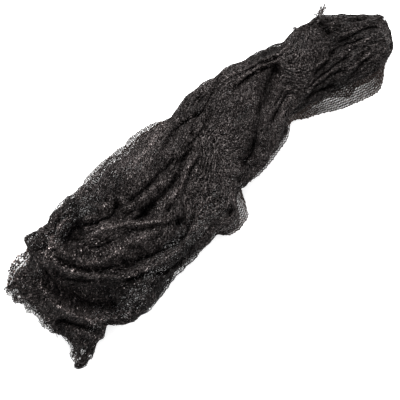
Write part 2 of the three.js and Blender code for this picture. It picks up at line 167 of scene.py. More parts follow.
FOLDS = (
    # the neck, and the strap that crosses it
    fold(24, 2.4, 5, (140, 41), (132, 38), (120, 32.5), (110, 27), (103, 21.5), (96, 16.5), (86, 10.5),
         (76, 2), (64, -7.5), (54, -15), (44, -21), (28, -29)),
    fold(18, 1.8, 2.4, (76, 47.5), (90, 49), (98, 49.2), (108, 48), (122, 44.7), (136, 42)),
    fold(20, 5, 5, (66, -8), (54, -15), (44, -21), (34, -25)),
    fold(22, 5, 5, (137, 36), (122, 30.5), (109, 23), (98, 14)),
    fold(13, 1.4, 1.4, (92, 57), (105, 56.5), (117, 51.6), (127, 49.2), (144, 43)),
    fold(-5, 1.2, 1.2, (80, 52), (100, 52.6), (119, 49), (130, 45.5), (142, 41)),
    fold(8, 2.8, 2.8, (102, 60), (114, 58), (138, 53.5), (150, 51), (163, 48)),
    fold(18, 1.7, 1.7, (83, -11), (97, -3), (105, 1), (115, 5), (128, 10)),
    fold(12, 1.4, 1.4, (99, 5), (112, 9), (124, 15)),
    fold(-7, 1.3, 1.3, (72, 65.5), (95, 60.5), (112, 57), (130, 52), (149, 46), (164, 49)),
    fold(-6, 1.4, 1.4, (128, 18), (127, 4), (121, -8)),
    # the right lobe
    fold(13, 2, 2.6, (196, 14), (205, 14), (215, 11), (226, 9), (236, 7), (244, 2), (251, -4)),
    fold(12, 2.4, 2.4, (152, 2), (165, 5), (175, 5), (186, 9), (197, 13)),
    fold(10, 1.3, 1.3, (195, 12), (208, 7), (219, 2.5), (230, 0)),
    fold(-3, 1.2, 1.2, (198, 8), (210, 3), (224, -1.5), (240, -6)),
    fold(-3, 1.1, 1.1, (142, -5), (160, -5.5), (176, -6.5), (195, -12)),
    fold(-3, 1.2, 1.2, (203, 21), (220, 14), (245, 6)),
    fold(-3, 1.2, 1.2, (160, 9), (178, 9), (192, 3), (212, -3)),
    fold(-3, 1.2, 1.2, (172, -14), (200, -17.5), (226, -16)),
    fold(8, 1.4, 1.4, (141, -7.5), (158, -8.5), (174, -10.5), (192, -18)),
    fold(11, 1.5, 1.5, (139, -2.5), (158, -2.5), (176, -3), (194, -4.5), (206, -6)),
    fold(12, 1.7, 1.7, (182, -23), (195, -22.5), (206, -21), (224, -20.5)),
    fold(8, 1.4, 1.4, (196, -14), (210, -13.5), (224, -12)),
    fold(16, 2, 3, (118, -16), (128, -11), (140, -11.5), (152, -13), (162, -17), (175, -20)),
    fold(14, 2, 2, (190, -33), (204, -36), (222, -37)),
    fold(16, 4, 4, (198, 51), (200, 42), (200, 34), (198, 22)),
    fold(-4, 2, 2, (199, 27), (208, 33), (217, 39)),
    fold(12, 2.4, 2.4, (202, 24), (211, 28), (220, 33)),
    fold(5, 2, 2, (200, 46), (205, 42), (212, 40)),
    fold(12, 2, 2, (220, 25), (232, 21), (241, 15), (248, 10)),
    fold(-5, 6, 6, (150, 42), (163, 32), (172, 20)),
    # the upper edge of the middle
    fold(15, 2.2, 2.2, (-28, 46), (-10, 52), (8, 55.5), (28, 55.5), (38, 53), (48, 57), (60, 62),
         (78, 69)),
    fold(12, 1.7, 1.7, (-10, 34), (12, 34), (28, 38), (40, 45), (52, 54)),
    fold(10, 1.4, 1.4, (9, 37), (21, 50)),
    fold(10, 2.4, 2.4, (51, 69), (42, 65), (35, 59)),
    fold(-6, 3, 3, (-74, 43), (-56, 55), (-38, 59), (-20, 63), (-6, 69)),
    # the middle
    fold(17, 4, 1.8, (8, 31), (-5, 28), (-15, 24), (-25, 18), (-35, 14), (-48, 11), (-62, 11),
         (-76, 10), (-90, 9), (-100, 14)),
    fold(13, 2, 2, (-90, 28), (-60, 28), (-42, 29.5), (-12, 33)),
    fold(14, 4, 4, (-94, 8), (-78, 7), (-60, 7)),
    fold(9, 3, 3, (-44, 21), (-20, 26), (0, 30)),
    fold(12, 1.7, 1.7, (6, 15), (-10, 12), (-20, 6), (-30, -0.5), (-40, -7), (-46, -16), (-53, -25)),
    fold(15, 2.4, 2.4, (-38, -28), (-48, -35), (-60, -40), (-76, -41), (-95, -36.5), (-115, -31),
         (-135, -25), (-150, -19)),
    fold(17, 2.4, 2.4, (-68, -8), (-58, -7), (-48, -6)),
    fold(26, 4.5, 4.5, (-68, -20), (-58, -26), (-49, -23)),
    fold(4, 1.5, 1.5, (-66, -55), (-45, -53), (-26, -52)),
    fold(34, 5, 5, (-8, -47), (-8, -61)),
    fold(4, 1.4, 1.4, (-32, -60), (-24, -51), (-12, -50)),
    fold(12, 2.4, 2.4, (14, -36), (34, -31), (52, -30)),
    fold(-5, 2.4, 2.4, (-82, 21), (-58, 22), (-38, 22), (-20, 30)),
    fold(-8, 1.9, 1.9, (6, 20), (-14, 15), (-25, 8), (-36, 3), (-52, 1)),
    fold(-5, 1.9, 1.9, (-55, -35), (-46, -26), (-36, -13)),
    # the left: rings of folds about the turned-in end
    fold(50, 17, 11, (-203, 37), (-209, 20), (-209, 6), (-204, -8), (-199, -21), (-192, -33),
         (-185, -42), (-175, -49), (-163, -53)),
    fold(13, 1.9, 1.9, (-200, 27), (-195, 12), (-188, 3), (-180, -5), (-168, -16)),
    fold(10, 1.8, 2, (-189, 38), (-182, 25), (-178, 15), (-171, 4), (-163, -4), (-154, -11),
         (-144, -16), (-128, -20)),
    fold(5, 8, 8, (-148, -17), (-125, -23), (-105, -27), (-85, -35), (-68, -40), (-52, -40)),
    fold(57, 9, 11, (-178, 41), (-166, 44), (-152, 46), (-139, 40)),
    fold(20, 3, 3, (-170, 42), (-160, 35), (-156, 28)),
    fold(15, 2.2, 2.2, (-148, 45), (-138, 39), (-128, 34), (-116, 29), (-104, 31), (-92, 39)),
    fold(7, 1.6, 1.6, (-157, 20), (-142, 13), (-128, 7), (-115, 5), (-104, 2), (-95, -3), (-85, -9),
         (-75, -14), (-66, -21), (-54, -30)),
    fold(17, 2.4, 2.4, (-148, -36), (-134, -40), (-122, -46), (-112, -53), (-100, -58), (-86, -60),
         (-70, -57), (-58, -51)),
    fold(17, 3, 3, (-240, -22), (-228, -24), (-221, -33), (-215, -42), (-208, -53), (-200, -64)),
    fold(13, 1.9, 1.9, (-206, 53), (-192, 53), (-180, 58), (-168, 61), (-154, 62), (-141, 56)),
    fold(17, 2.4, 2.4, (-138, 66), (-133, 58), (-130, 52)),
    fold(5, 2.4, 2.4, (-118, 50), (-108, 45), (-98, 43)),
    fold(5, 2.4, 2.4, (-96, 52), (-90, 44), (-86, 35)),
    fold(5, 2.2, 2.2, (-112, 36), (-101, 33), (-90, 35)),
    fold(7, 2.4, 2.4, (-99, 18), (-84, 18)),
    fold(-8, 3, 3, (-144, 58), (-160, 56), (-174, 54), (-186, 47), (-196, 41), (-203, 35)),
    fold(-8, 1.4, 1.4, (-203, 35), (-202, 22), (-200, 10), (-195, 0)),
    fold(-7.5, 2.2, 2.2, (-192, 39), (-189, 22), (-185, 12), (-179, 4), (-171, -6), (-164, -13),
         (-156, -21), (-147, -29), (-138, -34), (-125, -38), (-113, -43), (-100, -47), (-82, -47),
         (-66, -46), (-54, -42), (-40, -35)),
    fold(-7.5, 2.2, 2.2, (-181, 46), (-177, 33), (-172, 24), (-168, 15), (-163, 7), (-156, 1),
         (-146, -4), (-130, -5)),
    fold(-5, 8, 8, (-142, -4), (-118, -5), (-100, -10), (-82, -18)),
    fold(-9, 2.4, 2.4, (-154, 23), (-136, 27), (-124, 22), (-112, 17), (-100, 10), (-92, 3), (-82, -4),
         (-72, -11), (-64, -17)),
    fold(-9, 2.4, 2.4, (-225, 6), (-221, -8), (-217, -18), (-212, -29), (-206, -39), (-200, -49),
         (-186, -59)),
)
# How folds are worked out: the steps along them, their reach in spreads, and how their ends fade
WAY_STEP, FOLD_REACH, FOLD_FADE, FOLD_FADE_SHARE = 3, 4, 10, 0.45
# The share of the height that folds can take, how far up the section they are full, and how sharp they are
FOLD_SHARE, FOLD_FULL_AT, FOLD_SHARP = 0.92, 0.35, 1.2

# Long folds in the two sides: which side, where each starts and ends along the bundle and up its side, as a
# share of the height there, and its depth
SIDE_FOLDS = table(
    "side start start_up end end_up depth",
    (1, -238, 0.72, -110, 0.5, 8), (1, -190, 0.48, -40, 0.14, 9), (1, -130, 0.8, 30, 0.34, 9),
    (1, -30, 0.72, 95, 0.2, 8), (1, 45, 0.66, 125, 0.24, 8), (1, 108, 0.58, 166, 0.2, 6),
    (1, 150, 0.62, 244, 0.34, 8), (1, 172, 0.3, 252, 0.14, 6), (-1, -232, 0.26, -118, 0.6, 8),
    (-1, -190, 0.12, -40, 0.46, 9), (-1, -110, 0.18, 40, 0.66, 9), (-1, -14, 0.14, 98, 0.7, 8),
    (-1, 78, 0.2, 142, 0.78, 9), (-1, 130, 0.22, 205, 0.6, 8), (-1, 168, 0.14, 250, 0.4, 7),
)
SIDE_SPREAD, SIDE_FADE, SIDE_ONLY = 6, 25, 6
# How far each of them wanders up and down, and where its noise is read
SIDE_WANDER, SIDE_WAVE, SIDE_APART, SIDE_ROW, SIDE_SEED = 0.06, 24, 9, 0.5, 51

# Places that are crumpled all over, with coarse and fine creases
CRUMPLE_SIZE, CRUMPLE_NOISE = 10, (30, 30, 7)
FINE_SIZE, FINE_NOISE, FINE_SHARE = 5.5, (50, 50, 9), 0.6
CRUMPLES = table(
    "x y reach height",
    (-103, 46, 32, 4), (-188, 61, 24, 4), (-130, 60, 18, 3.5), (-232, 35, 18, 4), (-226, -58, 20, 4),
    (-120, -5, 45, 2.5), (-45, 35, 35, 2), (-180, 10, 40, 2), (-150, -50, 40, 2), (-60, -35, 40, 1.6),
    (60, 45, 50, 1.2), (200, 10, 50, 0.8), (40, -15, 50, 1),
)

# Small gathers along the sheet: how wide each is, in degrees about the bundle, how long and how high.
# A folded one is creased: its noise is mirrored at zero and lowered by that value. On the underside they
# and the creases have a share of their height
GATHERS = (
    dict(wide=23, long=120, height=7, noise=(40, 40, 3), folded=0.6),
    dict(wide=11, long=70, height=3, noise=(80, 40, 4), folded=0.5),
    dict(wide=11, long=12, height=1.4, noise=(20, 60, 5)),
    dict(wide=5, long=6, height=0.8, noise=(20, 60, 6)),
)
UNDER_RIPPLE = 0.3

# Painted light and shade: round places where the yarn's colour is made darker to stand in for shade in the
# folds, or lighter to stand in for light on them, from the left end to the right. Tones are added up, and
# the yarn's colour is scaled by that power of e
PAINTED_LIGHT_AND_SHADE = table(
    "x y reach tone",
    (-233, -30, 11, -0.9), (-228, -58, 14, -0.4), (-220, -4, 10, -0.4), (-215, 25, 12, 0.3),
    (-212, -8, 9, 0.3), (-205, -28, 9, -0.3), (-205, -25, 10, -0.4), (-203, -60, 10, -0.5),
    (-197, 39, 6, 0.6), (-190, 64, 9, -0.4), (-186, 48, 6, 0.6), (-172, -57, 8, 0.3), (-172, 20, 9, -0.3),
    (-167, 57, 9, 0.5), (-165, -50, 18, -0.6), (-165, 25, 9, -0.5), (-160, -36, 20, -0.6),
    (-152, -72, 10, -0.5), (-150, -58, 8, 0.2), (-148, -55, 10, -0.5), (-146, 38, 8, -0.6),
    (-135, 22, 7, 0.4), (-135, 46, 8, -0.3), (-133, 63, 8, -0.5), (-132, 58, 10, -0.8),
    (-130, -45, 18, -0.6), (-130, 23, 12, 0.3), (-125, -64, 12, -0.5), (-125, -15, 9, 0.3),
    (-124, 50, 9, -0.6), (-123, 27, 7, -0.35), (-118, 40, 9, 0.4), (-115, -66, 10, -0.5),
    (-110, -58, 14, -0.6), (-110, 16, 10, 0.6), (-106, 67, 8, 0.4), (-105, 45, 38, -0.15),
    (-90, -63, 10, -0.4), (-90, -12, 12, 0.3), (-90, 42, 7, -0.4), (-90, 52, 12, -0.4), (-88, 71, 11, 0.45),
    (-82, 8, 7, -0.6), (-80, -56, 14, -0.45), (-78, 6, 9, -0.4), (-75, -40, 9, -0.3), (-68, -43, 14, -0.5),
    (-68, 68, 9, 0.5), (-60, 35, 7, 0.4), (-57, -24, 6, -1), (-52, 57, 13, 0.8), (-50, -8, 8, -0.6),
    (-48, 1, 9, 0.5), (-45, 31, 12, -0.3), (-45, 44, 9, 0.4), (-40, 1, 8, 0.4), (-38, 22, 9, -0.3),
    (-33, -32, 10, 0.7), (-26, -28, 14, 0.25), (-24, 63, 10, 0.8), (-22, -58, 7, 0.4), (-20, -20, 40, 0.15),
    (-15, -65, 7, 0.8), (-15, 22, 8, -0.2), (-11, -12, 10, 0.4), (-8, 3, 8, 0.3), (-5, 70, 9, 0.6),
    (3, -42, 7, 0.5), (20, -15, 13, 0.3), (30, 20, 20, 0.45), (38, 61, 11, -0.6), (40, 23, 9, 0.45),
    (46, 42, 7, -0.4), (60, 74, 8, 0.5), (70, 2, 16, -0.25), (80, -29, 8, 0.6), (85, 71, 8, 0.6),
    (90, 27, 9, 0.5), (104, 14, 9, -0.35), (105, 45, 10, -0.3), (107, -9, 10, 0.5), (110, 65, 7, 0.5),
    (118, 61, 6, -0.9), (122, -2, 12, 0.5), (130, 58, 7, -1.1), (143, 54, 7, -0.9), (150, -14, 18, -0.6),
    (152, 27, 13, 0.3), (163, 38, 10, -0.3), (168, 42, 10, -0.3), (170, 3, 12, -0.25), (175, -24, 14, -0.6),
    (190, -5, 14, -0.3), (196, 0, 8, 0.3), (200, 15, 10, -0.3), (200, 38, 10, -0.4), (215, 5, 42, -0.45),
    (230, 30, 10, -0.3), (235, 4, 7, -0.3),
)
# Other tones: painted light and shade on crests and valleys, crumples and sides, thin edges and loops;
# random tone of single stitches, stronger at the left end; and the inlaid yarns' tone
# Painted highlights along fold ridges and painted shade in fold valleys: their strength, the width of their
# marks, and the valleys' share
PAINTED_FOLD_LIGHT, CREST_WIDTH, PAINTED_VALLEY_SHADE = 0.8, 2.6, 0.5
# Painted light and shade that follow the height of the crumples and of the sides' gathers, and painted shade
# in the side grooves
PAINTED_CRUMPLE_LIGHT, PAINTED_SIDE_LIGHT, PAINTED_SIDE_GROOVE_SHADE = 0.12, 0.1, 0.6
# Painted light on the single layers beside the bundle, rising toward their outer edge, with painted shade
# next to the bundle: its strength, and the share across where it turns from shade to light
PAINTED_EDGE_LIGHT, PAINTED_EDGE_LIGHT_FROM = 0.5, 0.6
STITCH_TONE, STITCH_LIMIT = 0.35, 2
END_TONE, END_TONE_FROM, END_TONE_FULL = 0.72, -60, -170
# Painted highlights on the chains' loops and painted shade between them, and the tone of the inlaid yarns
PAINTED_LOOP_HIGHLIGHT, PAINTED_LOOP_SHADE, INLAY_LIGHT = 0.4, -0.45, -0.2

# The knit: how many wales and courses it has, and how finely the net is measured to space them evenly
WRAP_WALES, TURN_WALES, PLEAT_WALES = 248, 100, 72
WRAP_COURSES, INNER_COURSES = 240, 160
EVEN_LINES, EVEN_STATIONS, EVEN_PASSES = 500, 126, 8
# How far its wales drift and its chains sway, and how its yarns stray, turn and widen
WALE_DRIFT, DRIFT_COURSES = 0.4, 4
CHAIN_LIFT, CHAIN_SWAY = 0.05, 0.4
YARN_JITTER, YARN_TILT, YARN_TWIST = 0.62, 0.5, 0.55
NARROWEST, WIDEST = 0.3, 1.1
LOOP_WIDE, LOOP_NARROW = 1.45, 0.45

# Kinds of knit: how wide its chains and inlaid yarns are, whether its loops show, and how loose it is
CLOSE = dict(chain_width=0.85, inlay_width=0.9, looped=True, loose=1)
HIDDEN = dict(chain_width=1.6, inlay_width=1.6, looped=False, loose=1)
SHEER = dict(chain_width=1.7, inlay_width=1, looped=True, loose=0.2)
LACE = dict(chain_width=1.2, inlay_width=1.2, looped=True, loose=0.2)
OPEN_LACE = dict(chain_width=2.1, inlay_width=1.4, looped=True, loose=0.8)

# Loose yarn: broken ends along the raw edges, stray loops all over, and a few long wisps
THREAD_WIDTH, THREAD_POINTS, THREAD_SINK, THREAD_ARCH, THREAD_TILT = 0.6, 7, 0.5, 2, 1
BROKEN_ENDS = (
    dict(edge=0, inside=3, count=10, length=(2, 6)),
    dict(edge=-1, inside=-4, count=8, length=(1, 4)),
)
BROKEN_SPREAD, BROKEN_CURL = 35, 60
STRAYS, STRAY_LENGTH, STRAY_LIFT, STRAY_TONE = 600, (2.5, 5), (0.3, 1.1), -0.6
STRAY_WALES_IN, STRAY_COURSES_IN = 2, 4
WISPS = table(
    "x y z way reach curl count",
    (205, 50, 22, 6, 20, 34, 9), (206, 51, 22, 42, 19, -38, 8), (208, 50, 22, 40, 9, 200, 5),
    (-241, -78, 3, 185, 13, -60, 7), (178, 55, 30, 80, 5, 160, 8), (-225, 55, 16, 95, 5, 60, 12),
    (-214, 56, 24, 80, 5, -70, 10), (-234, 52, 12, 115, 5, 50, 8),
)
WISP_WIDTH, WISP_SPREAD, WISP_SCATTER = 1.05, 9, (2.5, 1)
WISP_REACH, WISP_CURL = (0.5, 1), (0.3, 1.2)

# The yarn's looks: its dark, middle and light grains, the light grain standing in for painted glints, and
# its gloss
GRAIN_SCALE, GRAIN_MIDDLE = 1100, 0.5
YARN_GRAIN_AND_GLINTS = ((0.0009, 0.0006, 0.0006), (0.0086, 0.0062, 0.0058), (0.0785, 0.0695, 0.0678))
# The single layers beside the bundle get a lighter, warmer copy of the same yarn: painted light
SHEER_LIT_GRAIN_AND_GLINTS = ((0.0070, 0.0041, 0.0034), (0.0205, 0.0142, 0.0124), (0.0640, 0.0515, 0.0470))
SPECULAR, WEAR_SCALE, WEAR_DETAIL, WEAR_ROUGHNESS = 0.08, 700, 2, (0.35, 0.65)

# The studio: a white floor, soft light from above, and a camera straight above. Sizes are in metres, but
# for the sensor and the place that the camera looks at
FLOOR_HALF, FLOOR_WHITE, FLOOR_ROUGHNESS, FLOOR_GLOW = 3, (0.92, 0.92, 0.92, 1), 0.9, 0.42
WHITE = (1, 1, 1, 1)
KEY_PLACE, KEY_SIZE, KEY_POWER = (0.75, 0.77, 1.4), (0.8, 0.8), 75
SKY_STRENGTH = 1.2
FIELD, CAMERA_HEIGHT, CAMERA_SIGHT, MID_HEIGHT, SENSOR = 0.44, 4, 20, 0.04, 36
LOOK_AT = (-25.1, -20.1)
VIEW_TURN = -40


def smoothstep(x, low, high):
    t = np.clip((x - low) / (high - low), 0, 1)
    return t * t * (3 - 2 * t)


def along(rows, at, column):
    """A smooth reading of one column of a table whose rows lie along its first column."""
    key, value = next(iter(rows.values())), rows[column]
    slope = np.empty_like(value)
    slope[1:-1] = (value[2:] - value[:-2]) / (key[2:] - key[:-2])
    slope[0] = (value[1] - value[0]) / (key[1] - key[0])
    slope[-1] = (value[-1] - value[-2]) / (key[-1] - key[-2])
    here = np.clip(at, key[0], key[-1])
    k = np.clip(np.searchsorted(key, here) - 1, 0, len(key) - 2)
    span = key[k + 1] - key[k]
    t = (here - key[k]) / span
    ends = value[k] + (value[k + 1] - value[k]) * t * t * (3 - 2 * t)
    return ends + span * t * (1 - t) * ((1 - t) * slope[k] - t * slope[k + 1])


def lattice_noise(p, q, noise):
    """Smooth noise from -1 to 1 over a plane, from random values on its whole numbers."""
    size = 64
    at_p, at_q, seed = noise
    p, q = p + at_p, q + at_q
    values = np.random.default_rng(seed).uniform(-1, 1, (size, size))
    i, j = np.floor(p).astype(int), np.floor(q).astype(int)
    s, t = smoothstep(p - i, 0, 1), smoothstep(q - j, 0, 1)

    def corner(a, b):
        return values[(i + a) % size, (j + b) % size]

    low = corner(0, 0) * (1 - s) + corner(1, 0) * s
    high = corner(0, 1) * (1 - s) + corner(1, 1) * s
    return low * (1 - t) + high * t


def unit(v):
    return v / np.maximum(np.linalg.norm(v, axis=-1, keepdims=True), 1e-12)


def in_frame(x, y, z):
    """Places in plan and their heights, as points of the frame in metres."""
    return np.stack([x - PLAN_CENTRE[0], y - PLAN_CENTRE[1], z], axis=-1) * MM


# Lines of the section, each as its angle, its radius and how far it is tucked in


def wrap_lines(angle):
    tucked = smoothstep(angle, TUCK_FROM, WRAP_END)
    return angle, 1 + (TUCK_RADIUS - 1) * tucked, tucked


def turn_lines(angle):
    share = smoothstep(angle, WRAP_END, TURN_END)
    return angle, TUCK_RADIUS + (TURN_RADIUS - TUCK_RADIUS) * share, np.ones_like(angle)


def pleat_lines(turn):
    wave = PLEAT_TURN * np.sin(2 * np.pi * turn) / (2 * np.pi)
    across = PLEAT_FIRST + PLEAT_PITCH * (turn + wave)
    uneven = PLEAT_HEIGHT + PLEAT_UNEVEN * np.sin(PLEAT_RHYTHM * turn)
    up = -uneven * np.sqrt(PLEAT_RADIUS**2 - across**2) * np.cos(np.pi * turn)
    return np.degrees(np.arctan2(up, across)), np.hypot(across, up), np.ones_like(turn)


def squared(theta):
    """A point of the squarish section of radius 1, across and up."""
    round_section = np.cos(theta), np.sin(theta)
    return tuple(np.sign(v) * np.abs(v) ** (2 / SQUARENESS) for v in round_section)


def end_shift(angle, radius, tucked, x):
    """How far the raw ends move each line of the net along the bundle."""
    near_first = 1 - smoothstep(x, FIRST_X, FIRST_X + END_BLEND)
    near_last = smoothstep(x, LAST_X - END_BLEND, LAST_X)
    at_end = np.full_like(angle, FIRST_X)
    across, up = squared(np.radians(angle + along(TWIST, at_end, "turn")))
    upper, lower = along(UPPER, at_end, "reach"), along(LOWER, at_end, "reach")
    y = (upper + lower) / 2 + (upper - lower) / 2 * across * radius
    cut = along(RAW_END, y, "x") - FIRST_X
    back = along(RAW_END, y, "back") * np.maximum(UNDER_SETBACK * (up < 0), tucked)
    very_first = 1 - smoothstep(x, FIRST_X, FIRST_X + RAGGED_BLEND)
    very_last = smoothstep(x, LAST_X - RAGGED_BLEND, LAST_X)
    ragged = RAGGED * (very_first - very_last) * lattice_noise(angle / RAGGED_LINES, tucked, RAGGED_NOISE)
    return near_first * (cut + back) - near_last * INNER_FAR_SETBACK * tucked + ragged


def smooth_way(points):
    """A smooth curve through a fold's points, as short straight legs."""
    before, after = 2 * points[0] - points[1], 2 * points[-1] - points[-2]
    knots = np.vstack([before, points, after])
    curve = [points[:1]]
    for a, b, c, d in zip(knots, knots[1:], knots[2:], knots[3:]):
        count = max(1, round(math.dist(b, c) / WAY_STEP))
        t = np.linspace(0, 1, count + 1)[1:, None]
        curve.append(
            b + t / 2 * (c - a + t * (2 * a - 5 * b + 4 * c - d + t * (3 * (b - c) + d - a)))
        )
    return np.vstack(curve)


def fold_depth(x, y):
    """How deep all the folds together lie at places in plan, and the painted light along ridges and painted
    shade along valleys that they give.
    """
    depth, crest = np.zeros_like(x), np.zeros_like(x)
    for row in FOLDS:
        way = smooth_way(row["way"])
        legs = np.diff(way, axis=0)
        length = np.concatenate([[0], np.cumsum(np.hypot(*legs.T))])
        reach = FOLD_REACH * max(row["left"], row["right"])
        low, high = way.min(axis=0) - reach, way.max(axis=0) + reach
        here = np.nonzero((x > low[0]) & (x < high[0]) & (y > low[1]) & (y < high[1]))
        off = np.stack([x[here], y[here]], axis=-1)[:, None, :] - way[None, :-1, :]
        t = np.clip((off * legs).sum(axis=-1) / (legs**2).sum(axis=-1), 0, 1)
        far = np.linalg.norm(off - t[..., None] * legs, axis=-1)
        k = far.argmin(axis=1)
        row_of = np.arange(len(k))
        near, t, off = far[row_of, k], t[row_of, k], off[row_of, k]
        left = legs[k, 0] * off[:, 1] - legs[k, 1] * off[:, 0] > 0
        place = length[k] + t * (length[k + 1] - length[k])
        fade = min(FOLD_FADE, FOLD_FADE_SHARE * length[-1])
        ends = smoothstep(place, 0, fade) * smoothstep(length[-1] - place, 0, fade)
        width = np.where(left, row["left"], row["right"])
        depth[here] += row["depth"] * ends * np.exp(-((near / width) ** FOLD_SHARP))
        # Painted highlight along a ridge, painted shade along a valley
        sharp = ends * np.exp(-((near / np.minimum(width, CREST_WIDTH)) ** 2))
        crest[here] += sharp if row["depth"] < 0 else -PAINTED_VALLEY_SHADE * sharp
    return depth, np.clip(crest, -1, 1)


def side_groove(x, height, top, across):
    """How deep the folds of the sides lie, in millimetres, at places along the bundle and up its sides."""
    groove = np.zeros_like(x)
    for n, (side, start, start_up, end, end_up, depth) in enumerate(zip(*SIDE_FOLDS.values())):
        share = np.clip((x - start) / (end - start), 0, 1)
        wander = lattice_noise(x / SIDE_WAVE, 0 * x, (SIDE_APART * n, n + SIDE_ROW, SIDE_SEED))
        line = start_up + (end_up - start_up) * share + SIDE_WANDER * wander
        off = np.abs(height - line) * top / SIDE_SPREAD
        ends = smoothstep(x - start, 0, SIDE_FADE) * smoothstep(end - x, 0, SIDE_FADE)
        groove += depth * ends * np.exp(-(off**FOLD_SHARP)) * (np.sign(across) == side)
    return groove * np.abs(across) ** SIDE_ONLY


def spread(rows, x, y, column):
    """The sum of a table's soft round places, at places in plan."""
    total = np.zeros_like(x)
    for at_x, at_y, reach, value in zip(rows["x"], rows["y"], rows["reach"], rows[column]):
        total += value * np.exp(-((x - at_x) ** 2 + (y - at_y) ** 2) / reach**2)
    return total


def gathers(angle, x):
    """The small gathers that run along the sheet, in millimetres."""
    total = np.zeros_like(x)
    for row in GATHERS:
        wave = lattice_noise(angle / row["wide"], x / row["long"], row["noise"])
        if "folded" in row:
            wave = np.abs(wave) - row["folded"]
        total += row["height"] * wave
    return total


def creases(x, y):
    """Coarse and fine creases at places in plan."""
    coarse = lattice_noise(x / CRUMPLE_SIZE, y / CRUMPLE_SIZE, CRUMPLE_NOISE)
    return coarse + FINE_SHARE * lattice_noise(x / FINE_SIZE, y / FINE_SIZE, FINE_NOISE)


def pulled_open(x, y):
    """Places in plan, moved aside by the holes."""
    for at_x, at_y, reach in zip(*HOLES.values()):
        off_x, off_y = x - at_x, y - at_y
        far = np.hypot(off_x, off_y) + 1e-6
        push = (far**3 + reach**3) ** (1 / 3) / far
        x, y = at_x + off_x * push, at_y + off_y * push
    return x, y


def sheet_grid(lines, station):
    """Points of the net and how light each is: lines of the section by stations along the bundle."""
    angle, radius, tucked = lines
    x = station + end_shift(angle, radius, tucked, station)
    theta = np.radians(angle + along(TWIST, x, "turn"))
    across, up = (radius * v for v in squared(theta))
    upper, lower = along(UPPER, x, "reach"), along(LOWER, x, "reach")
    top = along(TOP, x, "height")
    widest = WIDEST_AT * top
    y = (upper + lower) / 2 + (upper - lower) / 2 * across
    corner = np.maximum(0, (np.abs(across) - FLAT_SHARE) / (1 - FLAT_SHARE))
    lowest = widest * (1 - np.sqrt(np.maximum(0, 1 - corner**2)))
    share = np.minimum(1, -up / np.sqrt(np.maximum(1e-9, 1 - across**2)))
    z = np.where(up >= 0, widest + (top - widest) * up, widest + (lowest - widest) * share)
    above = np.maximum(0, 1 - np.abs(across) ** SQUARENESS) ** (1 / SQUARENESS)
    folded = np.clip(above / FOLD_FULL_AT, 0, 1)
    groove = side_groove(x, z / top, top, across)
    depth, crest = fold_depth(x, y)
    z = z * (1 - FOLD_SHARE * np.tanh(depth / (FOLD_SHARE * top)) * folded)
    gathered, crumpled = gathers(angle, x), spread(CRUMPLES, x, y, "height") * creases(x, y)
    ripple = gathered + crumpled
    y = y + ripple * np.cos(theta) - np.sign(across) * groove
    z = z + ripple * np.sin(theta) * np.where(up > 0, 1, UNDER_RIPPLE)
    x, y = pulled_open(x, y)
    side = np.where(up > 0, 1 - folded, 1)
    # Painted light and shade: highlights on ridges and shade in valleys of the upper side, round spots of
    # painted light and shade, painted light and shade that follow crumples and the sides' gathers, and
    # painted shade in the side grooves
    light = PAINTED_FOLD_LIGHT * np.where(up > 0, crest, 0) + spread(PAINTED_LIGHT_AND_SHADE, x, y, "tone")
    light = light + PAINTED_CRUMPLE_LIGHT * crumpled + PAINTED_SIDE_LIGHT * side * (gathered - PAINTED_SIDE_GROOVE_SHADE * groove)
    return in_frame(x, y, np.maximum(z, LOWEST)), light


def patch_grid(rows, pitch, seed):
    """Points of a single layer that lies out beside the bundle, and how light each is.

    They go from the bundle to the layer's edge, by stations along it."""
    x, inner, outer, high, low = rows.values()
    wales = round(np.hypot(outer - inner, high - low).max() / pitch)
    courses = round((x[-1] - x[0]) / pitch)
    shares, stations = np.linspace(0, 1, wales), np.linspace(x[0], x[-1], courses)
    share, station = np.meshgrid(shares, stations, indexing="ij")
    inner, outer = along(rows, station, "inner"), along(rows, station, "outer")
    high, low = along(rows, station, "high"), along(rows, station, "low")

    y = inner + (outer - inner) * share
    z = low + (high - low) * (1 - share) ** PATCH_SAG

    def uneven(height, size, place, own_seed):
        return height * lattice_noise(station / size, y / size, (*place, own_seed))

    z = z + uneven(PATCH_CRUMPLE, PATCH_CRUMPLE_SIZE, PATCH_CRUMPLE_AT, seed)
    x = station + uneven(PATCH_SHIFT, PATCH_SHIFT_SIZE, PATCH_SHIFT_AT, seed + 1)
    y = y + uneven(PATCH_SHIFT, PATCH_SHIFT_SIZE, PATCH_SHIFT_AT, seed + 2)
    x, y = pulled_open(x, y)
    # Painted light toward the layer's outer edge and painted shade next to the bundle
    return in_frame(x, y, np.maximum(z, LOWEST)), PAINTED_EDGE_LIGHT * (share - PAINTED_EDGE_LIGHT_FROM)


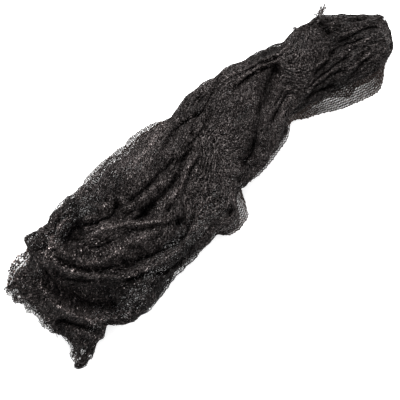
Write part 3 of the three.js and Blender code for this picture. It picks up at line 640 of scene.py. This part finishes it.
def knit_grid(lines, start, end, wales, courses, seed):
    """Points of the net where its wales and courses lie: evenly over it, give or take a little."""
    some_lines, some_x = np.linspace(start, end, EVEN_LINES), np.linspace(FIRST_X, LAST_X, EVEN_STATIONS)
    line, station = np.meshgrid(some_lines, some_x, indexing="ij")
    place, _ = sheet_grid(lines(line), station)
    far = np.linalg.norm(np.diff(place[..., 1:], axis=0), axis=-1)
    share = np.vstack([np.zeros(EVEN_STATIONS), np.cumsum(far, axis=0)])
    share = share / share[-1]
    for _ in range(EVEN_PASSES):
        share[:, 1:-1] = (share[:, :-2] + 2 * share[:, 1:-1] + share[:, 2:]) / 4
    wanted = np.linspace(0, 1, wales)
    at_some = np.stack([np.interp(wanted, column, some_lines) for column in share.T], axis=1)
    station = np.linspace(FIRST_X, LAST_X, courses)
    line = np.stack([np.interp(station, some_x, row) for row in at_some])
    wale, course = np.indices(line.shape)
    drift = WALE_DRIFT * lattice_noise(wale, course / DRIFT_COURSES, (0, 0, seed))
    line = np.clip(line + drift * np.gradient(line, axis=0), start, end)
    return sheet_grid(lines(line), np.broadcast_to(station, line.shape))


def stitch_tone(light, rng, uneven=STITCH_TONE):
    """The tone of each stitch: the painted light and shade it is given, with a random part that differs from
    its neighbours'.
    """
    own = np.clip(rng.normal(0, 1, light.shape), -STITCH_LIMIT, STITCH_LIMIT)
    return np.exp(light + uneven * own)


# Yarn is made as groups of ribbons: an array of ribbons by points by 2 edges by 3, and the points' tones


def both_edges(place, half):
    return np.stack([place - half, place + half], axis=2)


def knit_strips(grid, light, seed, chain_width, inlay_width, looped, loose):
    """The knit on a grid of the sheet: a chain along each line, and two inlaid yarns that zigzag between."""
    rng = np.random.default_rng(seed)
    wales, courses = grid.shape[:2]
    step = np.gradient(grid, axis=0)
    across, length = unit(step), unit(np.gradient(grid, axis=1))
    normal = unit(np.cross(across, length))
    spacing = np.linalg.norm(step, axis=-1, keepdims=True)
    narrowed = np.clip(np.median(spacing) / spacing, NARROWEST, WIDEST)
    near_end = smoothstep(grid[..., 0] / MM, END_TONE_FROM, END_TONE_FULL)
    uneven = STITCH_TONE + END_TONE * near_end

    def with_middles(values):
        double = np.repeat(values, 2, axis=1)[:, :-1]
        double[:, 1::2] = (values[:, :-1] + values[:, 1:]) / 2
        return double

    def ribbon(place, along_it, beside, up, width):
        aside = MM * YARN_JITTER * loose * rng.normal(0, 1, place.shape[:2] + (3,))
        place = place + aside[..., :1] * along_it + aside[..., 1:2] * beside
        turn = np.indices(place.shape[:2]).sum(axis=0)[..., None] % 2
        tilt = loose * (YARN_TWIST * (2 * turn - 1) + YARN_TILT * rng.normal(0, 1, turn.shape))
        return both_edges(place, MM * width / 2 * (np.cos(tilt) * beside + np.sin(tilt) * up))

    sway = CHAIN_SWAY * np.where(np.arange(courses) % 2, 1, -1)[None, :, None]
    chain = grid + MM * (sway * across + CHAIN_LIFT * normal), length, across, normal
    if looped:
        loop = np.arange(2 * courses - 1) % 2 == 0
        width = chain_width * np.where(loop, LOOP_WIDE, LOOP_NARROW)[None, :, None]
        # Painted highlight on each loop, painted shade between loops
        chain_light = with_middles(light) + np.where(loop, PAINTED_LOOP_HIGHLIGHT, PAINTED_LOOP_SHADE)
        tone = stitch_tone(chain_light, rng, with_middles(uneven))
        strips = [(ribbon(*(with_middles(v) for v in chain), width), tone)]
    else:
        strips = [(ribbon(*chain, chain_width), stitch_tone(light, rng, uneven))]
    inlay_light = light + INLAY_LIGHT * (1 + near_end)
    for phase in (0, 1):
        line = np.arange(wales - 1)[:, None] + (np.arange(courses)[None, :] + phase) % 2
        at = line, np.broadcast_to(np.arange(courses), line.shape)
        inlay = ribbon(grid[at], across[at], length[at], normal[at], inlay_width * narrowed[at])
        strips.append((inlay, stitch_tone(inlay_light[at], rng)))
    for end in (slice(0, 1), slice(-1, None)):
        last = (np.swapaxes(v[:, end], 0, 1) for v in (grid, across, length, normal))
        strips.append((ribbon(*last, inlay_width), stitch_tone(light[:, end].T, rng)))
    return strips


def thread_strips(start, way, reach, curl, rng, width=THREAD_WIDTH):
    """Loose yarn ends: each leaves its start in a direction in plan, in degrees, and curls as it sinks."""
    t = np.linspace(0, 1, THREAD_POINTS)[None, :]
    heading = np.radians(way[:, None] + curl[:, None] * t)
    leg = MM * reach[:, None] / (THREAD_POINTS - 1)
    x = start[:, :1] + np.cumsum(np.cos(heading) * leg, axis=1) - np.cos(heading[:, :1]) * leg
    y = start[:, 1:2] + np.cumsum(np.sin(heading) * leg, axis=1) - np.sin(heading[:, :1]) * leg
    arch = MM * rng.uniform(0, THREAD_ARCH, (len(start), 1)) * np.sin(np.pi * t)
    place = np.stack([x, y, start[:, 2:] * (1 - THREAD_SINK * t**2) + arch], axis=-1)
    tilt = rng.uniform(-THREAD_TILT, THREAD_TILT, (len(start), 1))
    flat = np.cos(tilt)
    side = np.stack([-np.sin(heading) * flat, np.cos(heading) * flat, np.sin(tilt) + 0 * t], axis=-1)
    return both_edges(place, MM * width / 2 * side), stitch_tone(np.zeros(place.shape[:2]), rng)


def broken_ends(grid, rng, edge, inside, count, length):
    """Broken yarn ends along one raw end of a grid, pointing away from a course inside it."""
    pick = rng.integers(0, len(grid), count)
    out = grid[pick, edge] - grid[pick, inside]
    way = np.degrees(np.arctan2(out[:, 1], out[:, 0])) + rng.normal(0, BROKEN_SPREAD, count)
    reach = rng.uniform(*length, count)
    return thread_strips(grid[pick, edge], way, reach, rng.normal(0, BROKEN_CURL, count), rng)


def wisp_threads(rng):
    """A few bunches of long thin yarn that stand out from the bundle."""
    groups = []
    for x, y, z, way, reach, curl, count in zip(*WISPS.values()):
        count = int(count)
        off_x, off_y = (rng.normal(0, scatter, count) for scatter in WISP_SCATTER)
        ways = way + rng.normal(0, WISP_SPREAD, count)
        reaches = reach * rng.uniform(*WISP_REACH, count)
        curls = curl * rng.uniform(*WISP_CURL, count)
        start = in_frame(x + off_x, y + off_y, np.full(count, z))
        groups.append(thread_strips(start, ways, reaches, curls, rng, WISP_WIDTH))
    return groups


def stray_loops(grid, rng):
    """Small loops of yarn that stand a little off the net."""
    wales, courses = grid.shape[:2]
    across, length = unit(np.gradient(grid, axis=0)), unit(np.gradient(grid, axis=1))
    wale = rng.integers(STRAY_WALES_IN, wales - STRAY_WALES_IN, STRAYS)
    course = rng.integers(STRAY_COURSES_IN, courses - STRAY_COURSES_IN, STRAYS)
    at = wale, course
    normal = unit(np.cross(across[at], length[at]))
    middle = grid[:, course].mean(axis=0)
    outward = np.sign((normal * (grid[at] - middle)).sum(axis=-1, keepdims=True))
    turn = rng.uniform(0, 2 * np.pi, (STRAYS, 1))
    way = np.cos(turn) * across[at] + np.sin(turn) * length[at]
    t = np.linspace(0, 1, THREAD_POINTS)[None, :, None]
    reach = MM * rng.uniform(*STRAY_LENGTH, (STRAYS, 1, 1))
    lift = MM * rng.uniform(*STRAY_LIFT, (STRAYS, 1, 1)) * np.sin(np.pi * t)
    place = grid[at][:, None] + (t - 0.5) * reach * way[:, None] + lift * (normal * outward)[:, None]
    half = MM * THREAD_WIDTH / 2 * np.cross(way, normal)[:, None]
    return both_edges(place, half), stitch_tone(np.full(place.shape[:2], STRAY_TONE), rng)


def strip_object(name, strips):
    """One mesh of many groups of ribbons."""
    points, tones, quads, start = [], [], [], 0
    for group, tone in strips:
        count, steps = group.shape[:2]
        index = np.arange(count * steps * 2).reshape(count, steps, 2) + start
        corners = index[:, :-1, 0], index[:, 1:, 0], index[:, 1:, 1], index[:, :-1, 1]
        quads.append(np.stack(corners, axis=-1).reshape(-1, 4))
        points.append(group.reshape(-1, 3))
        tones.append(np.repeat(tone, 2))
        start += count * steps * 2
    points, tones, quads = (np.concatenate(v) for v in (points, tones, quads))
    points[:, 2] = np.maximum(points[:, 2], MM * LOWEST / 2)
    mesh = bpy.data.meshes.new(name)
    mesh.vertices.add(len(points))
    mesh.vertices.foreach_set("co", points.astype(np.float32).ravel())
    mesh.loops.add(quads.size)
    mesh.loops.foreach_set("vertex_index", quads.astype(np.int32).ravel())
    mesh.polygons.add(len(quads))
    mesh.polygons.foreach_set("loop_start", np.arange(0, quads.size, 4, dtype=np.int32))
    mesh.attributes.new("tone", "FLOAT", "POINT").data.foreach_set("value", tones.astype(np.float32))
    mesh.update(calc_edges=True)
    mesh.validate()
    piece = bpy.data.objects.new(name, mesh)
    bpy.context.scene.collection.objects.link(piece)
    return piece


def net_material(name, shades):
    """Black polyethylene yarn, with a little wear and gloss that differs from stitch to stitch. Its colour
    is a random grain whose lightest cells are painted glints, scaled by the painted light and shade and the
    random stitch tone of its tone attribute.
    """
    material = bpy.data.materials.new(name)
    material.use_nodes = True
    nodes, links = material.node_tree.nodes, material.node_tree.links
    shader = nodes["Principled BSDF"]
    shader.inputs["Specular IOR Level"].default_value = SPECULAR
    place = nodes.new("ShaderNodeTexCoord")
    wear = nodes.new("ShaderNodeTexNoise")
    wear.inputs["Scale"].default_value = WEAR_SCALE
    wear.inputs["Detail"].default_value = WEAR_DETAIL
    links.new(place.outputs["Object"], wear.inputs["Vector"])
    # Random grain: its lightest cells are painted glints
    grain = nodes.new("ShaderNodeTexVoronoi")
    grain.inputs["Scale"].default_value = GRAIN_SCALE
    links.new(place.outputs["Object"], grain.inputs["Vector"])
    parts = nodes.new("ShaderNodeSeparateColor")
    links.new(grain.outputs["Color"], parts.inputs["Color"])
    colour = nodes.new("ShaderNodeValToRGB")
    stops = colour.color_ramp.elements
    stops.new(GRAIN_MIDDLE)
    for stop, shade in zip(stops, shades):
        stop.color = (*shade, 1)
    links.new(parts.outputs["Red"], colour.inputs["Fac"])
    # The tone attribute: painted light and shade, with random tone from stitch to stitch
    stitch = nodes.new("ShaderNodeAttribute")
    stitch.attribute_name = "tone"
    toned = nodes.new("ShaderNodeVectorMath")
    toned.operation = "SCALE"
    links.new(colour.outputs["Color"], toned.inputs[0])
    links.new(stitch.outputs["Fac"], toned.inputs["Scale"])
    links.new(toned.outputs["Vector"], shader.inputs["Base Color"])
    gloss = nodes.new("ShaderNodeMapRange")
    gloss.inputs["To Min"].default_value, gloss.inputs["To Max"].default_value = WEAR_ROUGHNESS
    links.new(wear.outputs["Fac"], gloss.inputs["Value"])
    links.new(gloss.outputs["Result"], shader.inputs["Roughness"])
    return material


def make_floor():
    mesh = bpy.data.meshes.new("floor")
    half = FLOOR_HALF
    corners = [(-half, -half, 0), (half, -half, 0), (half, half, 0), (-half, half, 0)]
    mesh.from_pydata(corners, [], [(0, 1, 2, 3)])
    floor = bpy.data.objects.new("floor", mesh)
    bpy.context.scene.collection.objects.link(floor)
    material = bpy.data.materials.new("floor_white")
    material.use_nodes = True
    shader = material.node_tree.nodes["Principled BSDF"]
    shader.inputs["Base Color"].default_value = FLOOR_WHITE
    shader.inputs["Roughness"].default_value = FLOOR_ROUGHNESS
    shader.inputs["Emission Color"].default_value = WHITE
    shader.inputs["Emission Strength"].default_value = FLOOR_GLOW
    mesh.materials.append(material)


def make_key_light():
    data = bpy.data.lights.new("key", "AREA")
    data.shape = "RECTANGLE"
    data.size, data.size_y = KEY_SIZE
    data.energy = KEY_POWER
    light = bpy.data.objects.new("key", data)
    light.location = KEY_PLACE
    light.rotation_euler = (-Vector(KEY_PLACE)).to_track_quat("-Z", "Y").to_euler()
    bpy.context.scene.collection.objects.link(light)


def make_camera():
    data = bpy.data.cameras.new("camera")
    data.sensor_width = SENSOR
    data.lens = SENSOR * (CAMERA_HEIGHT - MID_HEIGHT) / FIELD
    data.clip_end = CAMERA_SIGHT
    camera = bpy.data.objects.new("camera", data)
    camera.location = (*in_frame(*LOOK_AT, 0)[:2], CAMERA_HEIGHT)
    camera.rotation_euler = (0, 0, math.radians(VIEW_TURN))
    bpy.context.scene.collection.objects.link(camera)
    bpy.context.scene.camera = camera


def make_sky():
    world = bpy.data.worlds.new("studio")
    world.use_nodes = True
    background = world.node_tree.nodes["Background"]
    background.inputs["Color"].default_value = WHITE
    background.inputs["Strength"].default_value = SKY_STRENGTH
    bpy.context.scene.world = world


def finish_piece(piece, material):
    piece.data.materials.append(material)
    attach(piece, "root")
    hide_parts("shade_net")


def outer_part(first, last):
    """Some of the outer layer's wales, from the first to the last."""
    return outer[first : last + 1], outer_light[first : last + 1]


make_floor()
# The single layers and the fringe use the lighter painted-light copy of the yarn
yarn, lit_sheer_yarn = net_material("net_yarn", YARN_GRAIN_AND_GLINTS), net_material("net_yarn_sheer_lit", SHEER_LIT_GRAIN_AND_GLINTS)
outer, outer_light = knit_grid(wrap_lines, WRAP_START, WRAP_END, WRAP_WALES, WRAP_COURSES, seed=21)
second_turn = knit_grid(turn_lines, WRAP_END, TURN_END, TURN_WALES, INNER_COURSES, seed=22)
pleats = knit_grid(pleat_lines, PLEAT_FROM, PLEAT_TO, PLEAT_WALES, INNER_COURSES, seed=23)

# The loose yarn, and the fringe at the left end
rng = np.random.default_rng(24)
loose_yarn = [broken_ends(outer, rng, **row) for row in BROKEN_ENDS]
threads = strip_object("net_threads", [*loose_yarn, *wisp_threads(rng), stray_loops(outer, rng)])
fringe_grid = patch_grid(FRINGE, FRINGE_PITCH, seed=34)
fringe = strip_object("net_fringe", knit_strips(*fringe_grid, seed=16, **OPEN_LACE))
finish_piece(threads, yarn)
finish_piece(fringe, lit_sheer_yarn)

# The net's sheets: the points of each and how light they are, its seed, its kind of knit and its yarn
third = WRAP_WALES // 3
sheets = {
    "net_outer_a": (outer_part(0, third), 11, CLOSE, yarn),
    "net_outer_b": (outer_part(third, 2 * third), 12, CLOSE, yarn),
    "net_outer_c": (outer_part(2 * third, WRAP_WALES - 1), 13, CLOSE, yarn),
    "net_turn": (second_turn, 14, HIDDEN, yarn),
    "net_inner": (pleats, 15, HIDDEN, yarn),
    "net_flap": (patch_grid(FLAP, SHEER_PITCH, seed=31), 17, SHEER, lit_sheer_yarn),
    "net_flap_under": (patch_grid(FLAP_UNDER, SHEER_PITCH, seed=43), 20, SHEER, lit_sheer_yarn),
    "net_lower_edge": (patch_grid(LOWER_EDGE, LACE_PITCH, seed=46), 25, LACE, lit_sheer_yarn),
    "net_upper_rim": (patch_grid(UPPER_RIM, LACE_PITCH, seed=37), 18, LACE, lit_sheer_yarn),
    "net_lobe_rim": (patch_grid(LOBE_RIM, SHEER_PITCH, seed=40), 19, SHEER, lit_sheer_yarn),
}
for name, ((grid, light), seed, kind, material) in sheets.items():
    piece = strip_object(name, knit_strips(grid, light, seed, **kind))
    finish_piece(piece, material)

make_key_light()
make_camera()
make_sky()
bpy.context.scene.view_settings.view_transform = "Standard"
